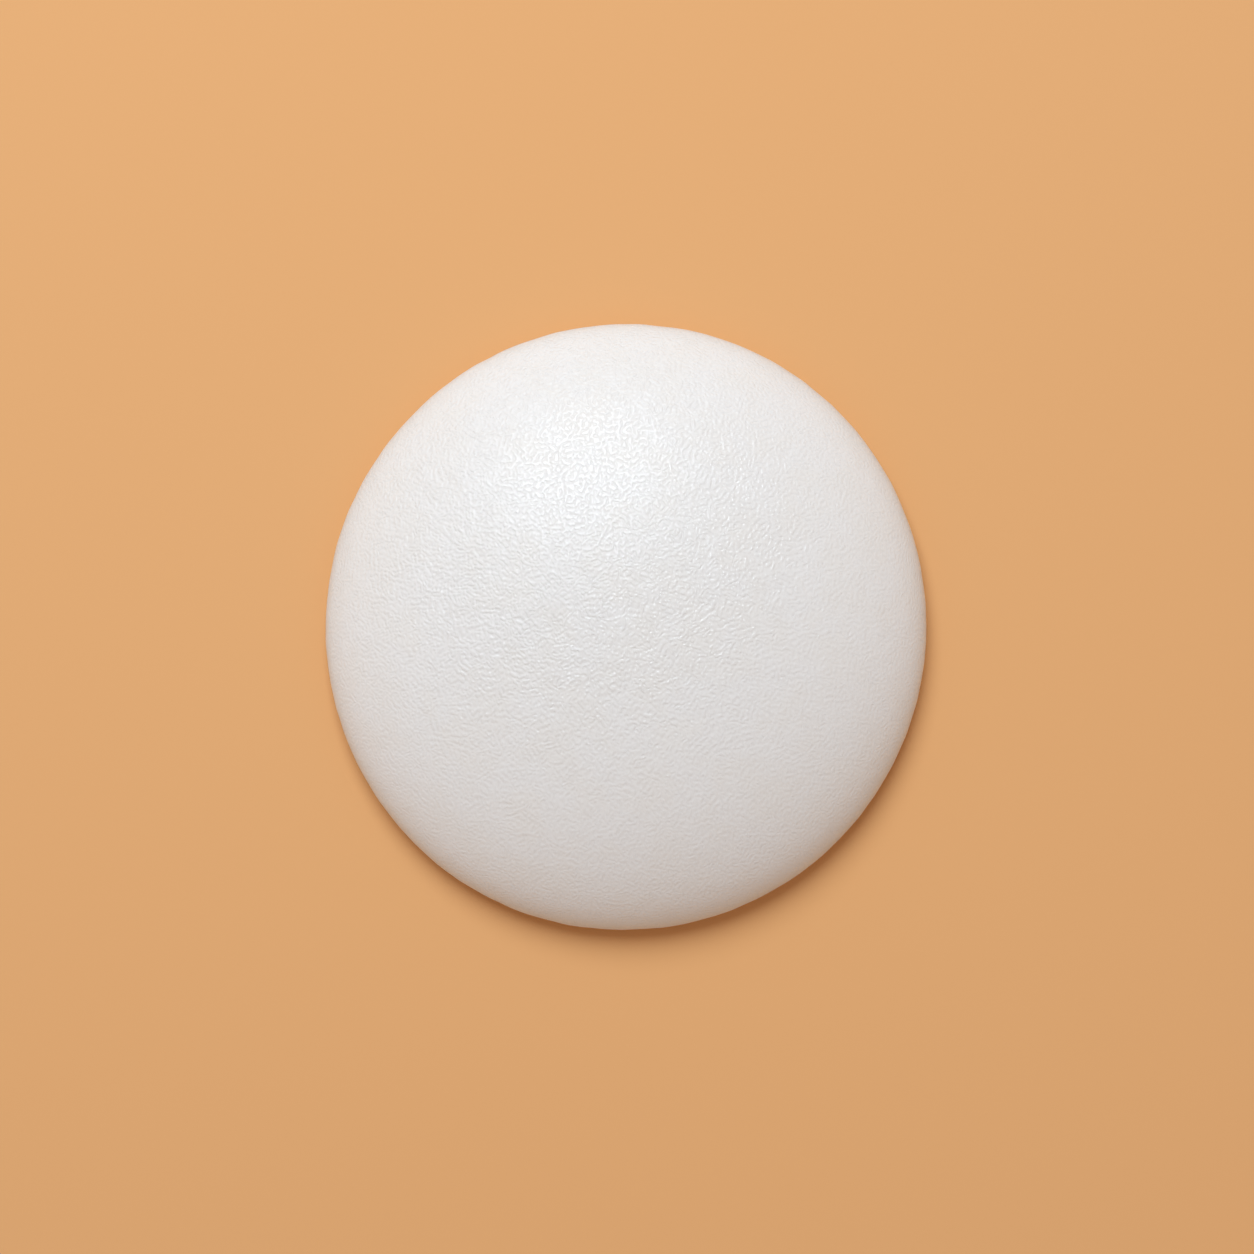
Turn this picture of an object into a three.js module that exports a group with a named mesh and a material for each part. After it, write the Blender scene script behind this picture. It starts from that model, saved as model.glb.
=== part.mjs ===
// A small white soft-ripened cheese: a low round wheel with a domed top, a rounded rim and a flat underside.
// Millimetres, +Z up. The origin is on the underside, at the middle of the wheel.

import * as THREE from "three";

// Driving dimensions.
const WHEEL_DIAMETER = 120; // mean diameter at the widest level
const WHEEL_HEIGHT = 26; // from the underside to the top of the dome
const WIDEST_LEVEL = 4.6; // height of the widest level above the underside
const FOOT_SETBACK = 6.5; // from the widest level in to the edge of the flat underside
const OVALNESS = 1.26; // the longest diameter less the shortest
const OVAL_ANGLE = THREE.MathUtils.degToRad(76); // the longest diameter, from +X towards +Y

// Fullness of the curves: 2 is an ellipse, more is squarer, less is more pointed.
const SHOULDER_FULLNESS = 2.05;
const CROWN_FULLNESS = 1.64;

// How finely the curves are divided.
const SECTORS = 80;
const DOME_STEPS = 24;
const FLANK_STEPS = 8;

// One quarter of a superellipse, from its end on the axis side (angle 0) to its end on the rim (a right angle).
function quarterCurve(angle, reach, rise, reachFullness, riseFullness) {
  const outward = Math.sin(angle) ** (2 / reachFullness);
  const upward = Math.max(Math.cos(angle), 0) ** (2 / riseFullness);
  return new THREE.Vector2(reach * outward, rise * upward);
}

// The half outline, from the top of the dome round the rim to the middle of the underside.
function halfOutline() {
  const radius = WHEEL_DIAMETER / 2;
  const domeRise = WHEEL_HEIGHT - WIDEST_LEVEL;
  const outline = [];
  for (let i = 0; i <= DOME_STEPS; i++) {
    const angle = (i / DOME_STEPS) * (Math.PI / 2);
    const point = quarterCurve(angle, radius, domeRise, SHOULDER_FULLNESS, CROWN_FULLNESS);
    outline.push(point.setY(point.y + WIDEST_LEVEL));
  }
  for (let i = 1; i <= FLANK_STEPS; i++) {
    const angle = (i / FLANK_STEPS) * (Math.PI / 2);
    const inward = FOOT_SETBACK * (1 - Math.cos(angle));
    const level = WIDEST_LEVEL * (1 - Math.sin(angle));
    outline.push(new THREE.Vector2(radius - inward, level));
  }
  outline.push(new THREE.Vector2(0, 0));
  return outline;
}

// Stretches a round solid a little along the longest diameter, and narrows it across.
function makeOval(geometry) {
  const share = OVALNESS / 2 / WHEEL_DIAMETER;
  const position = geometry.getAttribute("position");
  for (let i = 0; i < position.count; i++) {
    const x = position.getX(i);
    const y = position.getY(i);
    const stretch = 1 + share * Math.cos(2 * (Math.atan2(y, x) - OVAL_ANGLE));
    position.setXY(i, x * stretch, y * stretch);
  }
  geometry.computeVertexNormals();
  return geometry;
}

function cheeseWheel() {
  // The outline runs from the top down, so it is reversed for the lathe's faces to point outwards.
  const turned = new THREE.LatheGeometry(halfOutline().reverse(), SECTORS).rotateX(Math.PI / 2);
  const rind = new THREE.MeshStandardMaterial({ color: 0xe6e3e0, roughness: 0.4, metalness: 0 });
  const mesh = new THREE.Mesh(makeOval(turned), rind);
  mesh.name = "cheese_wheel";
  return mesh;
}

const group = new THREE.Group();
group.add(cheeseWheel());

export default group;
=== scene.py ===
"""A small white soft-ripened cheese on tan paper, looked at from straight above in soft studio light."""

import math

import bpy
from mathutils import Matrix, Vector


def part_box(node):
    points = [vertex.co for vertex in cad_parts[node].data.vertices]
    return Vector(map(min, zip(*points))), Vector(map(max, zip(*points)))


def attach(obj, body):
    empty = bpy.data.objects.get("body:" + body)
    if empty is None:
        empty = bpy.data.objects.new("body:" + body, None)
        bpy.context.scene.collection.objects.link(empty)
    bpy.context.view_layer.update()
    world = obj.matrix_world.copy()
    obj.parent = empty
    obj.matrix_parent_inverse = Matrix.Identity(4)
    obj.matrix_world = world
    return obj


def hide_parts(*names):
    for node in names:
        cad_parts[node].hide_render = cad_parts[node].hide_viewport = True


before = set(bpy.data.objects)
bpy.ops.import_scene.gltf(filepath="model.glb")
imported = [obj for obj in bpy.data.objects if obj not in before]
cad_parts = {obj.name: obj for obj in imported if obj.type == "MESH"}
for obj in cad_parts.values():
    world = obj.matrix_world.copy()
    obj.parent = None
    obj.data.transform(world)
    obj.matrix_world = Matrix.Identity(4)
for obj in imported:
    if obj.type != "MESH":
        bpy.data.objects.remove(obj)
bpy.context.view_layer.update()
MM = 0.001

# ======================================================================================================
# The cheese's body. Soft curd is ladled into a round hoop and drained and turned on a mat, so it knits
# into one piece with a flat foot. Out of the hoop it slumps: the top settles into a low dome, the rim
# rounds over, and the mat leaves a faint lattice of grooves underneath.
# ======================================================================================================

wheel_low, wheel_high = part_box("cheese_wheel")
wheel_size = wheel_high - wheel_low
wheel_points = [v.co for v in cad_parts["cheese_wheel"].data.vertices]
foot_reaches = [math.hypot(p.x, p.y) for p in wheel_points if p.z < 0.01 * MM and p.xy.length > MM]

OVAL_ANGLE = math.radians(76)  # the longest diameter, from +X towards +Y
WHEEL_RADIUS = (wheel_size.x + wheel_size.y) / 4
WIDEST_LEVEL = max(wheel_points, key=lambda p: math.hypot(p.x, p.y)).z
FOOT_RADIUS = (min(foot_reaches) + max(foot_reaches)) / 2
OVAL_SHARE = (wheel_size.x - wheel_size.y) / math.cos(2 * OVAL_ANGLE) / (4 * WHEEL_RADIUS)

# How the surface lies on the flat map for its finish, as shares of the map's width.
DOME_ON_MAP = 0.44  # radius of the dome and flank, unrolled
FLANK_ON_MAP = 0.12  # width of the flank, as a share of the dome's radius
FOOT_ON_MAP = 0.13  # radius of the foot
MAP_MARGIN = 0.004

RING_SPREAD = 0.3  # how far the dome's rings are drawn in towards the crown: 0 turns them evenly
DOME_SLANT = 0.28  # length over the dome, beyond its radius, as a share of its rise
QUARTER_OVAL = 0.79  # length of a quarter of an oval, as a share of its two half widths together

ALMOST_FLAT = 0.999  # on a cube from -1 to 1, past this is the top face
FOOT_EDGE = 1.5 * MM  # the lowest stretch of the flank, which the mat kept even
FOOT_SKIN = 0.2 * MM  # how far up the mat's marks reach
FOLD_STRETCH = 0.3  # draws the puckers out upwards: less is longer
GROOVE_EDGE = 0.1  # where a groove begins on its wave, from -1 to 1: less is wider
FAINTEST_MARK = 0.35  # how deep the mat's marks are where it pressed least, as a share of the deepest


def put(tree, value, socket):
    """Gives a node's input its value: another node's output, or a constant."""
    if isinstance(value, bpy.types.NodeSocket):
        tree.links.new(value, socket)
    else:
        socket.default_value = value


def maths(tree, operation, *values):
    """A Math node on numbers and sockets, and its result."""
    node = tree.nodes.new("ShaderNodeMath")
    node.operation = operation
    for socket, value in zip(node.inputs, values):
        put(tree, value, socket)
    return node.outputs[0]


def product(tree, first, *others):
    """All the values multiplied together."""
    for value in others:
        first = maths(tree, "MULTIPLY", first, value)
    return first


def total(tree, first, *others):
    """All the values added together."""
    for value in others:
        first = maths(tree, "ADD", first, value)
    return first


def between(tree, share, first, second):
    """A number on the way from the first to the second, by a share from 0 to 1."""
    return total(tree, first, product(tree, share, maths(tree, "SUBTRACT", second, first)))


def vector_maths(tree, operation, first, second):
    """A Vector Math node on two vectors, or on a vector and a number where it scales."""
    node = tree.nodes.new("ShaderNodeVectorMath")
    node.operation = operation
    put(tree, first, node.inputs[0])
    put(tree, second, node.inputs["Scale"] if operation == "SCALE" else node.inputs[1])
    return node.outputs[0]


def ramp(tree, value, from_low, from_high, to_low=0.0, to_high=1.0):
    """Turns a stretch of a value smoothly into another stretch, level outside it."""
    node = tree.nodes.new("ShaderNodeMapRange")
    node.interpolation_type = "SMOOTHSTEP"
    ends = (("From Min", from_low), ("From Max", from_high), ("To Min", to_low), ("To Max", to_high))
    for name, number in ends:
        put(tree, number, node.inputs[name])
    put(tree, value, node.inputs["Value"])
    return node.outputs["Result"]


def joined(tree, x, y, z):
    """A vector from its three numbers."""
    node = tree.nodes.new("ShaderNodeCombineXYZ")
    for socket, value in zip(node.inputs, (x, y, z)):
        put(tree, value, socket)
    return node.outputs[0]


def split(tree, vector):
    """The three numbers of a vector."""
    node = tree.nodes.new("ShaderNodeSeparateXYZ")
    put(tree, vector, node.inputs[0])
    return tuple(node.outputs)


def distance(tree, place, middle=(0, 0, 0)):
    """How far a place is from the middle."""
    node = tree.nodes.new("ShaderNodeVectorMath")
    node.operation = "DISTANCE"
    put(tree, place, node.inputs[0])
    put(tree, middle, node.inputs[1])
    return node.outputs["Value"]


def lumps(tree, place, size, detail=0.0, seed=0.0):
    """Smooth noise from -1 to 1 whose lumps are about one size across, in metres."""
    node = tree.nodes.new("ShaderNodeTexNoise")
    node.noise_dimensions = "4D"
    node.normalize = False
    put(tree, place, node.inputs["Vector"])
    put(tree, seed, node.inputs["W"])
    scale = maths(tree, "DIVIDE", 1, size) if isinstance(size, bpy.types.NodeSocket) else 1 / size
    put(tree, scale, node.inputs["Scale"])
    put(tree, detail, node.inputs["Detail"])
    return node.outputs[0]


def moved(tree, geometry, **where):
    """Geometry with its points at a new Position, or shifted by an Offset."""
    node = tree.nodes.new("GeometryNodeSetPosition")
    put(tree, geometry, node.inputs["Geometry"])
    for name, vector in where.items():
        put(tree, vector, node.inputs[name])
    return node.outputs["Geometry"]


def stored(tree, geometry, name, kind, domain, value):
    """Geometry that carries a value over its surface under a name."""
    node = tree.nodes.new("GeometryNodeStoreNamedAttribute")
    node.data_type = kind
    node.domain = domain
    node.inputs["Name"].default_value = name
    put(tree, geometry, node.inputs["Geometry"])
    put(tree, value, node.inputs["Value"])
    return node.outputs["Geometry"]


def wheel_tree():
    """Geometry Nodes that shape a cube's surface grid into the whole cheese, with no pole and no seam."""
    tree = bpy.data.node_groups.new("Cheese wheel", "GeometryNodeTree")
    inputs = (
        ("Radius", "NodeSocketFloat"),
        ("Height", "NodeSocketFloat"),
        ("Widest Level", "NodeSocketFloat"),
        ("Foot Radius", "NodeSocketFloat"),
        ("Oval Share", "NodeSocketFloat"),
        ("Oval Angle", "NodeSocketFloat"),
        ("Shoulder Fullness", "NodeSocketFloat"),
        ("Crown Fullness", "NodeSocketFloat"),
        ("Quads Across", "NodeSocketInt"),
        ("Quads Down Flank", "NodeSocketInt"),
        ("Sag", "NodeSocketFloat"),
        ("Sag Width", "NodeSocketFloat"),
        ("Pucker", "NodeSocketFloat"),
        ("Pucker Width", "NodeSocketFloat"),
        ("Pucker Top", "NodeSocketFloat"),
        ("Pucker Full", "NodeSocketFloat"),
        ("Mat Groove", "NodeSocketFloat"),
        ("Mat Spacing", "NodeSocketFloat"),
        ("Mat Margin", "NodeSocketFloat"),
        ("Mat Patch", "NodeSocketFloat"),
        ("Rind", "NodeSocketMaterial"),
    )
    for name, kind in inputs:
        tree.interface.new_socket(name, in_out="INPUT", socket_type=kind)
    tree.interface.new_socket("Geometry", in_out="OUTPUT", socket_type="NodeSocketGeometry")
    group_in = tree.nodes.new("NodeGroupInput")
    size = {s.name: s for s in group_in.outputs}

    cube = tree.nodes.new("GeometryNodeMeshCube")
    cube.inputs["Size"].default_value = (2, 2, 2)
    for axis, count in (("X", "Quads Across"), ("Y", "Quads Across"), ("Z", "Quads Down Flank")):
        put(tree, total(tree, size[count], 1), cube.inputs["Vertices " + axis])
    position = tree.nodes.new("GeometryNodeInputPosition").outputs[0]

    # Every square ring of the cube's top and bottom becomes a round ring: out is how far out a point is,
    # and (along_x, along_y) is its direction from the middle.
    x, y, z = split(tree, position)
    x_size = maths(tree, "ABSOLUTE", x)
    y_size = maths(tree, "ABSOLUTE", y)
    out = maths(tree, "MAXIMUM", x_size, y_size)
    lean = maths(tree, "DIVIDE", maths(tree, "SUBTRACT", x_size, y_size), maths(tree, "MAXIMUM", out, 1e-6))
    turn = product(tree, total(tree, lean, 1), math.pi / 4)
    along_x = product(tree, maths(tree, "SIGN", x), maths(tree, "SINE", turn))
    along_y = product(tree, maths(tree, "SIGN", y), maths(tree, "COSINE", turn))

    # The dome is a quarter of a superellipse. Its rings are spread so that they lie about evenly over it.
    spread = total(tree, product(tree, out, out, RING_SPREAD), 1 - RING_SPREAD)
    sweep = product(tree, out, spread, math.pi / 2)
    out_power = maths(tree, "DIVIDE", 2, size["Shoulder Fullness"])
    up_power = maths(tree, "DIVIDE", 2, size["Crown Fullness"])
    outward = maths(tree, "POWER", maths(tree, "SINE", sweep), out_power)
    upward = maths(tree, "POWER", maths(tree, "MAXIMUM", maths(tree, "COSINE", sweep), 0), up_power)
    rise = maths(tree, "SUBTRACT", size["Height"], size["Widest Level"])
    dome_reach = product(tree, size["Radius"], outward)
    dome_level = total(tree, product(tree, rise, upward), size["Widest Level"])

    # Below the widest level the flank is a quarter of an oval in to the flat foot. down_flank runs from 0
    # at the widest level to 1 at the foot.
    down_flank = product(tree, maths(tree, "SUBTRACT", 1, z), 0.5)
    down = product(tree, down_flank, math.pi / 2)
    setback = maths(tree, "SUBTRACT", size["Radius"], size["Foot Radius"])
    inward = product(tree, setback, maths(tree, "SUBTRACT", 1, maths(tree, "COSINE", down)))
    low_reach = product(tree, maths(tree, "SUBTRACT", size["Radius"], inward), out)
    low_level = product(tree, size["Widest Level"], maths(tree, "SUBTRACT", 1, maths(tree, "SINE", down)))

    on_top = maths(tree, "GREATER_THAN", z, ALMOST_FLAT)
    reach = between(tree, on_top, low_reach, dome_reach)
    level = between(tree, on_top, low_level, dome_level)
    bearing = maths(tree, "ARCTAN2", along_y, along_x)
    double_turn = product(tree, maths(tree, "SUBTRACT", bearing, size["Oval Angle"]), 2)
    stretch = total(tree, product(tree, size["Oval Share"], maths(tree, "COSINE", double_turn)), 1)
    oval_reach = product(tree, reach, stretch)
    round_place = joined(tree, product(tree, along_x, oval_reach), product(tree, along_y, oval_reach), level)

    # A flat map for the finish: the dome and flank unroll into one large round, the foot is a small round
    # in the corner.
    unrolled = product(tree, out, total(tree, product(tree, down_flank, FLANK_ON_MAP), 1))
    unrolled_scale = DOME_ON_MAP / (1 + FLANK_ON_MAP)
    dome_map = joined(
        tree,
        total(tree, product(tree, along_x, unrolled, unrolled_scale), DOME_ON_MAP + MAP_MARGIN),
        total(tree, product(tree, along_y, unrolled, unrolled_scale), 1 - DOME_ON_MAP - MAP_MARGIN),
        0,
    )
    foot_map = joined(
        tree,
        total(tree, product(tree, along_x, out, -FOOT_ON_MAP), 1 - FOOT_ON_MAP - MAP_MARGIN),
        total(tree, product(tree, along_y, out, FOOT_ON_MAP), FOOT_ON_MAP + MAP_MARGIN),
        0,
    )

    # The rind laid out flat, in metres, for the wrinkles to run over: equal steps out from the middle of
    # the dome, down the flank to the foot, and the foot on its own.
    dome_length = total(tree, size["Radius"], product(tree, rise, DOME_SLANT))
    flank_length = product(tree, total(tree, setback, size["Widest Level"]), QUARTER_OVAL)
    laid_out = total(tree, product(tree, dome_length, out), product(tree, flank_length, down_flank))
    dome_skin = joined(tree, product(tree, along_x, laid_out), product(tree, along_y, laid_out), 0)
    foot_skin = joined(tree, product(tree, along_x, low_reach), product(tree, along_y, low_reach), 0)

    keep_points = tree.nodes.new("GeometryNodeCaptureAttribute")
    kept = {
        "Round Place": round_place,
        "Dome Map": dome_map,
        "Foot Map": foot_map,
        "Dome Skin": dome_skin,
        "Foot Skin": foot_skin,
    }
    for name in kept:
        keep_points.capture_items.new("VECTOR", name)
    for name, socket in kept.items():
        put(tree, socket, keep_points.inputs[name])
    put(tree, cube.outputs["Mesh"], keep_points.inputs["Geometry"])
    keep_faces = tree.nodes.new("GeometryNodeCaptureAttribute")
    keep_faces.domain = "FACE"
    keep_faces.capture_items.new("FLOAT", "On Foot")
    put(tree, maths(tree, "LESS_THAN", z, -ALMOST_FLAT), keep_faces.inputs["On Foot"])
    put(tree, keep_points.outputs["Geometry"], keep_faces.inputs["Geometry"])

    wheel = keep_faces.outputs["Geometry"]
    layers = (
        ("OFBake", "FLOAT2", "Dome Map", "Foot Map"),
        ("skin", "FLOAT_VECTOR", "Dome Skin", "Foot Skin"),
    )
    for name, kind, on_dome, on_foot in layers:
        either = tree.nodes.new("ShaderNodeMix")
        either.data_type = "VECTOR"
        put(tree, keep_faces.outputs["On Foot"], either.inputs["Factor"])
        put(tree, keep_points.outputs[on_dome], either.inputs[4])
        put(tree, keep_points.outputs[on_foot], either.inputs[5])
        wheel = stored(tree, wheel, name, kind, "CORNER", either.outputs[1])
    wheel = moved(tree, wheel, Position=keep_points.outputs["Round Place"])

    # Unevenness, measured out along the surface: a slow sag all over, and puckers where the flank folds
    # in towards the foot. The foot's own edge stays where it is.
    px, py, pz = split(tree, position)
    sag = product(tree, lumps(tree, position, size["Sag Width"], seed=3.0), size["Sag"])
    upright = joined(tree, px, py, product(tree, pz, FOLD_STRETCH))
    folds = lumps(tree, upright, size["Pucker Width"], detail=1.0, seed=8.0)
    fold_zone = ramp(tree, pz, size["Pucker Top"], size["Pucker Full"])
    pucker = product(tree, folds, fold_zone, size["Pucker"])
    off_foot = ramp(tree, pz, 0.0, FOOT_EDGE)
    push = product(tree, total(tree, sag, pucker), off_foot)
    normal = tree.nodes.new("GeometryNodeInputNormal").outputs[0]
    wheel = moved(tree, wheel, Offset=vector_maths(tree, "SCALE", normal, push))

    # The draining mat's lattice, pressed a little way up into the foot and fading out at its edge.
    grooves = []
    for axis in (px, py):
        threads = maths(tree, "DIVIDE", axis, size["Mat Spacing"])
        wave = maths(tree, "COSINE", product(tree, threads, 2 * math.pi))
        grooves.append(ramp(tree, wave, GROOVE_EDGE, 1.0))
    lattice = maths(tree, "MAXIMUM", *grooves)
    reach_now = maths(tree, "SQRT", total(tree, product(tree, px, px), product(tree, py, py)))
    inner_edge = maths(tree, "SUBTRACT", size["Foot Radius"], size["Mat Margin"])
    within = ramp(tree, reach_now, size["Foot Radius"], inner_edge)
    at_foot = ramp(tree, pz, FOOT_SKIN, 0.0)
    patches = lumps(tree, position, size["Mat Patch"], detail=1.0, seed=5.0)
    patchy = ramp(tree, patches, -0.5, 0.3, FAINTEST_MARK, 1.0)
    pressed = product(tree, lattice, within, at_foot, patchy)
    wheel = stored(tree, wheel, "mat_mark", "FLOAT", "POINT", pressed)
    wheel = moved(tree, wheel, Offset=joined(tree, 0, 0, product(tree, pressed, size["Mat Groove"])))
    wheel = moved(tree, wheel, Position=joined(tree, px, py, maths(tree, "MAXIMUM", pz, 0)))

    smooth = tree.nodes.new("GeometryNodeSetShadeSmooth")
    put(tree, wheel, smooth.inputs["Geometry"])
    realize = tree.nodes.new("GeometryNodeRealizeInstances")
    put(tree, smooth.outputs["Geometry"], realize.inputs["Geometry"])
    dress = tree.nodes.new("GeometryNodeSetMaterial")
    put(tree, realize.outputs["Geometry"], dress.inputs["Geometry"])
    put(tree, size["Rind"], dress.inputs["Material"])
    group_out = tree.nodes.new("NodeGroupOutput")
    put(tree, dress.outputs["Geometry"], group_out.inputs["Geometry"])
    return tree


def wrinkle_group():
    """Shader nodes for the rind's worm-like wrinkles: 0 in the furrows and 1 on the ridges."""
    group = bpy.data.node_groups.new("Rind wrinkles", "ShaderNodeTree")
    numbers = ("Pitch", "Fine Pitch", "Fine Share", "Swirl", "Steepness")
    group.interface.new_socket("Place", in_out="INPUT", socket_type="NodeSocketVector")
    for name in numbers:
        group.interface.new_socket(name, in_out="INPUT", socket_type="NodeSocketFloat")
    group.interface.new_socket("Height", in_out="OUTPUT", socket_type="NodeSocketFloat")
    start = group.nodes.new("NodeGroupInput")
    place = start.outputs["Place"]
    pitch, fine_pitch, fine_share, swirl, steepness = (start.outputs[n] for n in numbers)

    # The wrinkles wander: their place is shifted by a noise four pitches wide before they are drawn.
    drift = group.nodes.new("ShaderNodeTexNoise")
    drift_place = vector_maths(group, "SCALE", place, maths(group, "DIVIDE", 0.25, pitch))
    put(group, drift_place, drift.inputs["Vector"])
    drift.inputs["Scale"].default_value = 1
    drift.inputs["Detail"].default_value = 1
    shifted = vector_maths(group, "SUBTRACT", drift.outputs["Color"], (0.5, 0.5, 0.5))
    shift = vector_maths(group, "SCALE", shifted, product(group, swirl, pitch))
    wandering = vector_maths(group, "ADD", place, shift)

    heights = []
    for wave in (pitch, fine_pitch):
        worms = group.nodes.new("ShaderNodeTexGabor")
        worms.gabor_type = "2D"
        worm_place = vector_maths(group, "SCALE", wandering, maths(group, "DIVIDE", 1, wave))
        put(group, worm_place, worms.inputs["Vector"])
        worms.inputs["Scale"].default_value = 0.5
        worms.inputs["Frequency"].default_value = 2
        worms.inputs["Anisotropy"].default_value = 0
        heights.append(maths(group, "SUBTRACT", worms.outputs["Value"], 0.5))
    height = total(group, heights[0], product(group, heights[1], fine_share))
    half_way = maths(group, "DIVIDE", 0.5, steepness)
    end = group.nodes.new("NodeGroupOutput")
    put(group, ramp(group, height, product(group, half_way, -1), half_way), end.inputs["Height"])
    return group


def blend_colours(tree, share, first, second):
    """A colour between two, by a share from 0 to 1. Each is four numbers or a socket."""
    node = tree.nodes.new("ShaderNodeMix")
    node.data_type = "RGBA"
    put(tree, share, node.inputs["Factor"])
    put(tree, first, node.inputs[6])
    put(tree, second, node.inputs[7])
    return node.outputs[2]


BLOOM = (0.872, 0.879, 0.880, 1)  # the white mould, thick and dry
THIN_BLOOM = (0.868, 0.868, 0.858, 1)  # where it is thinner and the paste shows a little
SHOULDER_SHADE_GREY = (0.812, 0.848, 0.864, 1)  # painted shade: greyer and cooler round the shoulder and down the flank
CREAM = (0.80, 0.73, 0.60, 1)  # the damp paste, low on the flank and underneath
MAT_BROWN = (0.60, 0.49, 0.33, 1)  # rubbed lines where the mat pressed in
CREAM_SHARE = 0.75
BROWN_SHARE = 0.6
CLOUD_WIDTH = 7 * MM  # of thick and thin bloom
RAGGED_WIDTH = 4 * MM  # of the cream's uneven edge

# Where the finish changes, as lengths over the rind. The rim is about 1.1 radii out from the dome's middle.
DULL_FROM = 0.4 * WHEEL_RADIUS
DULL_TO = 1.0 * WHEEL_RADIUS
# Where the painted shade round the shoulder begins, and where it is full.
SHOULDER_SHADE_FROM = 0.88 * WHEEL_RADIUS
SHOULDER_SHADE_TO = 1.1 * WHEEL_RADIUS
DEEPEST_PLACE = (-0.17 * WHEEL_RADIUS, 0.28 * WHEEL_RADIUS, 0)
DEEPEST_WITHIN = 0.25 * WHEEL_RADIUS
SHALLOW_BEYOND = 1.05 * WHEEL_RADIUS
FOOT_LEVEL = 0.3 * MM  # by here the flank's finish has become the foot's

WRINKLE_DEPTH = 0.165 * MM
SHALLOW_DEPTH = 0.36  # of the wrinkles at the rim, as a share of the deepest
FLANK_DEPTH = 0.4  # added to it towards the foot
SWELL_WIDTH = 2.8 * MM  # of the slow swell that the wrinkles ride on
SWELL_SHARE = 0.5  # of its height, against theirs


def rind_material():
    """Satin off-white rind: a thin white bloom over cream paste, finely wrinkled, with a moist sheen."""
    material = bpy.data.materials.new("White rind")
    material.use_nodes = True
    tree = material.node_tree
    shader = tree.nodes["Principled BSDF"]
    skin_layer = tree.nodes.new("ShaderNodeAttribute")
    skin_layer.attribute_name = "skin"
    skin = skin_layer.outputs["Vector"]
    place = tree.nodes.new("ShaderNodeTexCoord").outputs["Object"]
    level = split(tree, place)[2]

    wrinkles = tree.nodes.new("ShaderNodeGroup")
    wrinkles.node_tree = wrinkle_group()
    put(tree, skin, wrinkles.inputs["Place"])
    wrinkles.inputs["Pitch"].default_value = 1.08 * MM
    wrinkles.inputs["Fine Pitch"].default_value = 0.7 * MM
    wrinkles.inputs["Fine Share"].default_value = 0.65
    wrinkles.inputs["Swirl"].default_value = 1.0
    wrinkles.inputs["Steepness"].default_value = 1.7
    ridges = wrinkles.outputs["Height"]

    # The wrinkles are deepest over one side of the dome, where the rind dried last. They shallow out to the
    # rim, come back on the flank, and grow deeper down it to the foot.
    out = distance(tree, skin)
    outwards = ramp(tree, out, DULL_FROM, DULL_TO)
    underneath = ramp(tree, level, WIDEST_LEVEL, FOOT_LEVEL)
    from_deepest = distance(tree, skin, DEEPEST_PLACE)
    over_dome = ramp(tree, from_deepest, DEEPEST_WITHIN, SHALLOW_BEYOND, 1.0, SHALLOW_DEPTH)
    depth = total(tree, over_dome, ramp(tree, underneath, 0, 1, 0.0, FLANK_DEPTH))
    swell = lumps(tree, skin, SWELL_WIDTH, detail=1.0, seed=2.0)
    waves = total(tree, ridges, product(tree, swell, SWELL_SHARE))
    bump = tree.nodes.new("ShaderNodeBump")
    bump.inputs["Distance"].default_value = WRINKLE_DEPTH
    put(tree, product(tree, waves, depth), bump.inputs["Height"])
    put(tree, bump.outputs["Normal"], shader.inputs["Normal"])

    # Colour: thick and thin bloom in soft clouds, painted shade in grey round the shoulder, cream low down,
    # and brown where the mat rubbed.
    clouds = ramp(tree, lumps(tree, place, CLOUD_WIDTH, detail=3.0, seed=11.0), -0.4, 0.5)
    # Painted shade: the shoulder and flank are painted greyer and cooler than the bloom on top.
    painted_shoulder_shade = ramp(tree, out, SHOULDER_SHADE_FROM, SHOULDER_SHADE_TO)
    white = blend_colours(tree, painted_shoulder_shade, blend_colours(tree, clouds, BLOOM, THIN_BLOOM), SHOULDER_SHADE_GREY)
    ragged = product(tree, lumps(tree, place, RAGGED_WIDTH, detail=2.0, seed=13.0), 0.35)
    damp_edge = ramp(tree, total(tree, underneath, ragged), 0.15, 1.0)
    damp = product(tree, damp_edge, ramp(tree, underneath, 0.0, 0.3), CREAM_SHARE)
    creamy = blend_colours(tree, damp, white, CREAM)
    mark = tree.nodes.new("ShaderNodeAttribute")
    mark.attribute_name = "mat_mark"
    rubbed = product(tree, mark.outputs["Fac"], BROWN_SHARE)
    put(tree, blend_colours(tree, rubbed, creamy, MAT_BROWN), shader.inputs["Base Color"])

    # Sheen: the crests of the wrinkles carry a thin film, and the rim is drier and duller. The mould's
    # fuzz hides most of the film at a low angle.
    put(tree, ramp(tree, outwards, 0, 1, 0.08, 0.3), shader.inputs["Roughness"])
    shader.inputs["Specular IOR Level"].default_value = 0.22
    crests = ramp(tree, ridges, 0.5, 0.76)
    slant = tree.nodes.new("ShaderNodeLayerWeight")
    slant.inputs["Blend"].default_value = 0.5
    through_fuzz = ramp(tree, slant.outputs["Facing"], 0.12, 0.7, 1.0, 0.1)
    above_foot = ramp(tree, underneath, 0, 1, 1.0, 0.0)
    put(tree, product(tree, crests, above_foot, through_fuzz), shader.inputs["Coat Weight"])
    shader.inputs["Coat Roughness"].default_value = 0.31
    shader.inputs["Subsurface Weight"].default_value = 0.72
    shader.inputs["Subsurface Radius"].default_value = (1.0, 1.0, 1.0)
    shader.inputs["Subsurface Scale"].default_value = 2.2 * MM
    return material


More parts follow.
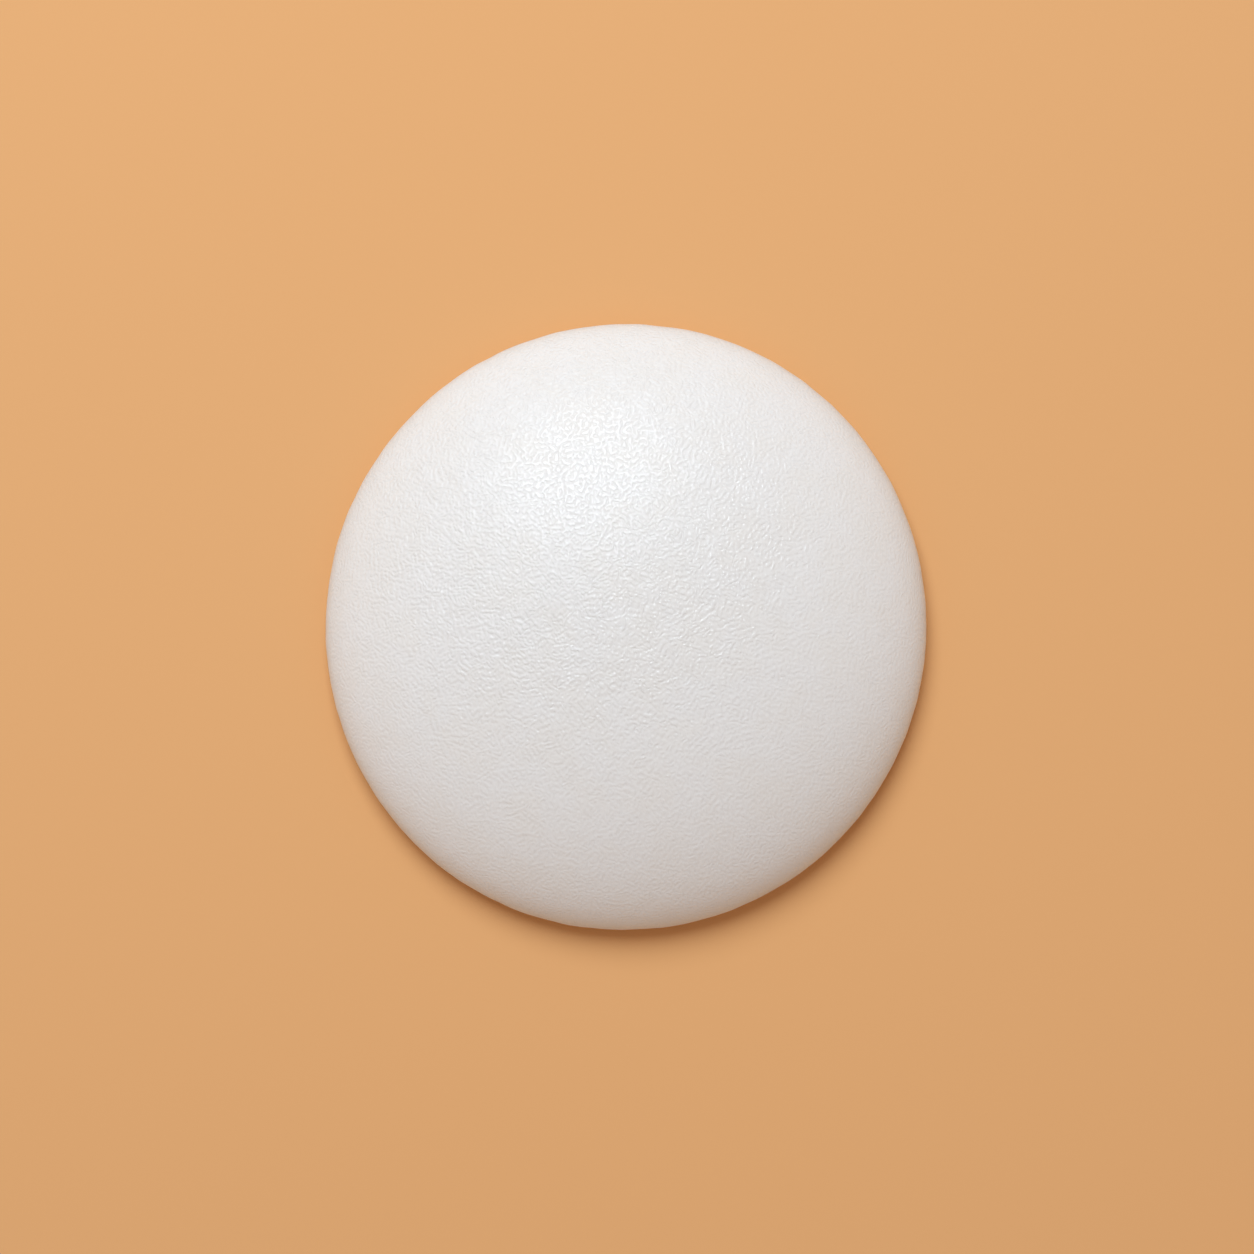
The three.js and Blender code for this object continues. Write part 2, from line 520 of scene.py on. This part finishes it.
def make_wheel():
    """The cheese as one plain mesh, from the Geometry Nodes tree."""
    carrier = bpy.data.objects.new("wheel_carrier", bpy.data.meshes.new("wheel_carrier"))
    bpy.context.scene.collection.objects.link(carrier)
    modifier = carrier.modifiers.new("Cheese wheel", "NODES")
    modifier.node_group = wheel_tree()
    values = {
        "Radius": WHEEL_RADIUS,
        "Height": wheel_size.z,
        "Widest Level": WIDEST_LEVEL,
        "Foot Radius": FOOT_RADIUS,
        "Oval Share": OVAL_SHARE,
        "Oval Angle": OVAL_ANGLE,
        "Shoulder Fullness": 2.05,  # of the dome's curve outwards: 2 is an ellipse, more is squarer
        "Crown Fullness": 1.64,  # of its curve upwards: less is more pointed
        "Quads Across": 200,
        "Quads Down Flank": 14,
        "Sag": 0.1 * MM,
        "Sag Width": 34 * MM,
        "Pucker": 0.2 * MM,
        "Pucker Width": 5 * MM,
        "Pucker Top": 7.5 * MM,  # the level where the puckers begin
        "Pucker Full": 2.5 * MM,  # the level where they are deepest
        "Mat Groove": 0.3 * MM,
        "Mat Spacing": 3.6 * MM,
        "Mat Margin": 7 * MM,  # the plain band inside the foot's edge
        "Mat Patch": 18 * MM,  # how wide the patches are where the mat pressed harder
        "Rind": rind_material(),
    }
    for item in modifier.node_group.interface.items_tree:
        if item.in_out == "INPUT":
            modifier[item.identifier] = values[item.name]
    bpy.context.view_layer.update()
    finished = carrier.evaluated_get(bpy.context.evaluated_depsgraph_get())
    mesh = bpy.data.meshes.new_from_object(finished)
    mesh.name = "whole_cheese"
    wheel = bpy.data.objects.new("whole_cheese", mesh)
    bpy.context.scene.collection.objects.link(wheel)
    bpy.data.objects.remove(carrier)
    return wheel


wheel = make_wheel()
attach(wheel, "root")
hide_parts("cheese_wheel")

# ======================================================================================================
# The floor: tan paper, flat under the cheese, painted paler with distance as painted light, and swept up
# far behind it on every side, so that no edge shows from a low angle.
# ======================================================================================================

FLAT_RADIUS = 1.1
FLAT_RINGS = 6
SWEEP_RADIUS = 0.7
SWEEP_ANGLE = math.radians(75)
SWEEP_RINGS = 24
FLOOR_SECTORS = 128
# Painted light: outwards from the middle the paper is painted paler and greyer, so the far floor and sweep
# read brighter.
TAN_WITHIN = 0.2
PAINTED_LIGHT_BEYOND = 1.5
TAN = (0.81, 0.445, 0.195, 1)
PAINTED_LIGHT_PALE = (0.82, 0.75, 0.68, 1)


def floor_outline():
    """Radius and height of each ring, from the middle out and up."""
    yield from ((FLAT_RADIUS * i / FLAT_RINGS, 0.0) for i in range(1, FLAT_RINGS + 1))
    for i in range(1, SWEEP_RINGS + 1):
        angle = SWEEP_ANGLE * i / SWEEP_RINGS
        yield FLAT_RADIUS + SWEEP_RADIUS * math.sin(angle), SWEEP_RADIUS * (1 - math.cos(angle))


def paper_material():
    """Dull tan paper, painted paler with distance from the middle as painted light."""
    paper = bpy.data.materials.new("Tan paper with painted light far out")
    paper.use_nodes = True
    tree = paper.node_tree
    shader = tree.nodes["Principled BSDF"]
    out = distance(tree, tree.nodes.new("ShaderNodeTexCoord").outputs["Object"])
    # Painted light: paler out towards the sweep.
    painted_light_far = ramp(tree, out, TAN_WITHIN, PAINTED_LIGHT_BEYOND)
    put(tree, blend_colours(tree, painted_light_far, TAN, PAINTED_LIGHT_PALE), shader.inputs["Base Color"])
    shader.inputs["Roughness"].default_value = 0.9
    shader.inputs["Specular IOR Level"].default_value = 0.1
    return paper


def make_floor():
    """The floor as one mesh, from its rings."""
    points = [(0.0, 0.0, 0.0)]
    faces = []
    for ring, (radius, height) in enumerate(floor_outline()):
        for k in range(FLOOR_SECTORS):
            angle = 2 * math.pi * k / FLOOR_SECTORS
            points.append((radius * math.cos(angle), radius * math.sin(angle), height))
            this = 1 + ring * FLOOR_SECTORS + k
            following = 1 + ring * FLOOR_SECTORS + (k + 1) % FLOOR_SECTORS
            if ring == 0:
                faces.append((0, this, following))
            else:
                faces.append((this - FLOOR_SECTORS, this, following, following - FLOOR_SECTORS))
    mesh = bpy.data.meshes.new("paper_floor")
    mesh.from_pydata(points, [], faces)
    mesh.shade_smooth()
    mesh.materials.append(paper_material())
    floor = bpy.data.objects.new("paper_floor", mesh)
    bpy.context.scene.collection.objects.link(floor)
    return floor


make_floor()

# ======================================================================================================
# The light: one big round soft box above and behind the cheese, a little to the left, and an even fill.
# ======================================================================================================

LIGHT_DISTANCE = 1.3
LIGHT_TILT = math.radians(32.8)  # from straight up
LIGHT_BEARING = math.radians(105.5)  # from +X towards +Y

soft_box = bpy.data.lights.new("soft_box", "AREA")
soft_box.shape = "DISK"
soft_box.size = 0.84
soft_box.energy = 13.9
soft_box.color = (0.82, 0.925, 1.0)
soft_box_stand = bpy.data.objects.new("soft_box", soft_box)
soft_box_stand.location = LIGHT_DISTANCE * Vector((
    math.sin(LIGHT_TILT) * math.cos(LIGHT_BEARING),
    math.sin(LIGHT_TILT) * math.sin(LIGHT_BEARING),
    math.cos(LIGHT_TILT),
))
soft_box_stand.rotation_euler = soft_box_stand.location.to_track_quat("Z", "Y").to_euler()
bpy.context.scene.collection.objects.link(soft_box_stand)

room = bpy.data.worlds.new("even_fill")
room.use_nodes = True
room.node_tree.nodes["Background"].inputs["Color"].default_value = (1.0, 0.77, 0.64, 1)
room.node_tree.nodes["Background"].inputs["Strength"].default_value = 0.38
bpy.context.scene.world = room
bpy.context.scene.view_settings.view_transform = "Standard"

# ======================================================================================================
# The camera: straight above, with a long lens, so that the cheese fills just under half of the frame.
# ======================================================================================================

FRAME_SHARE = 0.4812  # of the frame's width, taken by the wheel's mean diameter
CAMERA_OFFSET = 0.20 * MM  # to the right of the wheel's middle

camera_data = bpy.data.cameras.new("above")
camera_data.lens = 100
camera_data.sensor_width = 36
camera = bpy.data.objects.new("above", camera_data)
camera_height = 2 * WHEEL_RADIUS / FRAME_SHARE * camera_data.lens / camera_data.sensor_width
camera.location = (CAMERA_OFFSET, 0, WIDEST_LEVEL + camera_height)
bpy.context.scene.collection.objects.link(camera)
bpy.context.scene.camera = camera
